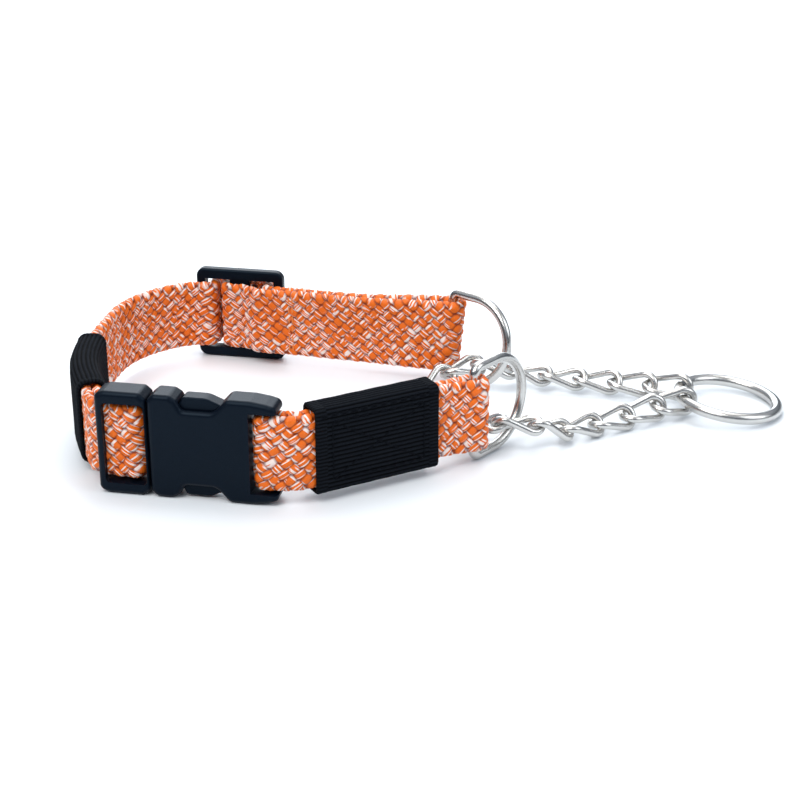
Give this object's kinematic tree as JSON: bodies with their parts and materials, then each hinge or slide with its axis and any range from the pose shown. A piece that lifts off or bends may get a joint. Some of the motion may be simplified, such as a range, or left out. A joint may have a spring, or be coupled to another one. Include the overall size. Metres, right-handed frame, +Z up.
{
  "type": "martingale dog collar",
  "caption": "Martingale dog collar: braided strap with side-release buckle and slider, two D-rings, and a curb chain that runs through them to a round lead ring.",
  "frame": {"origin": "centre of the bounding box, on the floor", "axes": "+Z up, the way the collar stands on the lower edge of its strap; +X towards the lead ring; the buckle is on the -Y side"},
  "size_m": [0.1837, 0.104, 0.026],
  "materials": {
    "black_plastic": "moulded satin",
    "orange_braid": "glossy filament braid with pale flecks",
    "black_grosgrain": "ribbed weave",
    "black_thread": "twisted thread",
    "orange_thread": "twisted thread",
    "nickel": "bright plated"
  },
  "bodies": {
    "band": {"female_buckle": "black_plastic", "male_buckle": "black_plastic", "front_strap": "orange_braid", "long_strap": "orange_braid", "right_sleeve": "black_grosgrain", "left_sleeve": "black_grosgrain", "right_sleeve_stitching": "black_thread", "tail_seam": "orange_thread", "slider": "black_plastic", "chain_link_01": "nickel", "chain_link_03": "nickel", "chain_link_05": "nickel", "chain_link_06": "nickel", "chain_link_08": "nickel", "chain_link_10": "nickel", "chain_link_12": "nickel", "chain_link_13": "nickel", "chain_link_15": "nickel", "chain_link_17": "nickel", "chain_link_18": "nickel"},
    "upper_prong": {"upper_prong": "black_plastic"},
    "lower_prong": {"lower_prong": "black_plastic"},
    "front_d_ring": {"front_d_ring": "nickel"},
    "rear_d_ring": {"rear_d_ring": "nickel"},
    "lead_ring": {"lead_ring": "nickel"},
    "chain_link_02": {"chain_link_02": "nickel"},
    "chain_link_04": {"chain_link_04": "nickel"},
    "chain_link_07": {"chain_link_07": "nickel"},
    "chain_link_09": {"chain_link_09": "nickel"},
    "chain_link_11": {"chain_link_11": "nickel"},
    "chain_link_14": {"chain_link_14": "nickel"},
    "chain_link_16": {"chain_link_16": "nickel"}
  },
  "joints": [
    {"name": "upper_prong_pinch", "type": "hinge", "parent": "band", "child": "upper_prong", "pos_m": [-0.06326, -0.04345, 0.0212], "axis": [0.1874, 0.9823, 0], "range_deg": [0, 13], "stiffness_Nm_per_rad": 0.06},
    {"name": "lower_prong_pinch", "type": "hinge", "parent": "band", "child": "lower_prong", "pos_m": [-0.06326, -0.04345, 0.0048], "axis": [-0.1874, -0.9823, 0], "range_deg": [0, 13], "stiffness_Nm_per_rad": 0.06},
    {"name": "front_d_swivel", "type": "hinge", "parent": "band", "child": "front_d_ring", "pos_m": [0.0088, -0.02642, 0.01295], "axis": [0, 0, 1], "range_deg": [-2, 14]},
    {"name": "rear_d_swivel", "type": "hinge", "parent": "band", "child": "rear_d_ring", "pos_m": [0.0042, 0.02848, 0.01277], "axis": [0.1116, 0.133, 0.9848], "range_deg": [-14, 1]},
    {"name": "lead_ring_lift", "type": "hinge", "parent": "band", "child": "lead_ring", "pos_m": [0.06528, 0.00618, 0.00431], "axis": [0, -1, 0], "range_deg": [0, 20]},
    {"name": "chain_link_02_play", "type": "hinge", "parent": "band", "child": "chain_link_02", "pos_m": [0.05375, -0.00369, 0.00368], "axis": [0, 0, 1], "range_deg": [-2.5, 2.5]},
    {"name": "chain_link_04_play", "type": "hinge", "parent": "band", "child": "chain_link_04", "pos_m": [0.03689, -0.01203, 0.0029], "axis": [0, 0, 1], "range_deg": [-5, 2]},
    {"name": "chain_link_07_play", "type": "hinge", "parent": "band", "child": "chain_link_07", "pos_m": [0.01129, -0.0175, 0.00628], "axis": [0, 0, 1], "range_deg": [-1.5, 2]},
    {"name": "chain_link_09_play", "type": "hinge", "parent": "band", "child": "chain_link_09", "pos_m": [-0.00021, -0.00416, 0.00265], "axis": [0, 0, 1], "range_deg": [-5, 1]},
    {"name": "chain_link_11_play", "type": "hinge", "parent": "band", "child": "chain_link_11", "pos_m": [0.0011, 0.01324, 0.00496], "axis": [0, 0, 1], "range_deg": [-3, 3.5]},
    {"name": "chain_link_14_play", "type": "hinge", "parent": "band", "child": "chain_link_14", "pos_m": [0.02577, 0.02123, 0.00428], "axis": [0, 0, 1], "range_deg": [-4.5, 4.5]},
    {"name": "chain_link_16_play", "type": "hinge", "parent": "band", "child": "chain_link_16", "pos_m": [0.0441, 0.01701, 0.00361], "axis": [0, 0, 1], "range_deg": [-2, 2]}
  ]
}
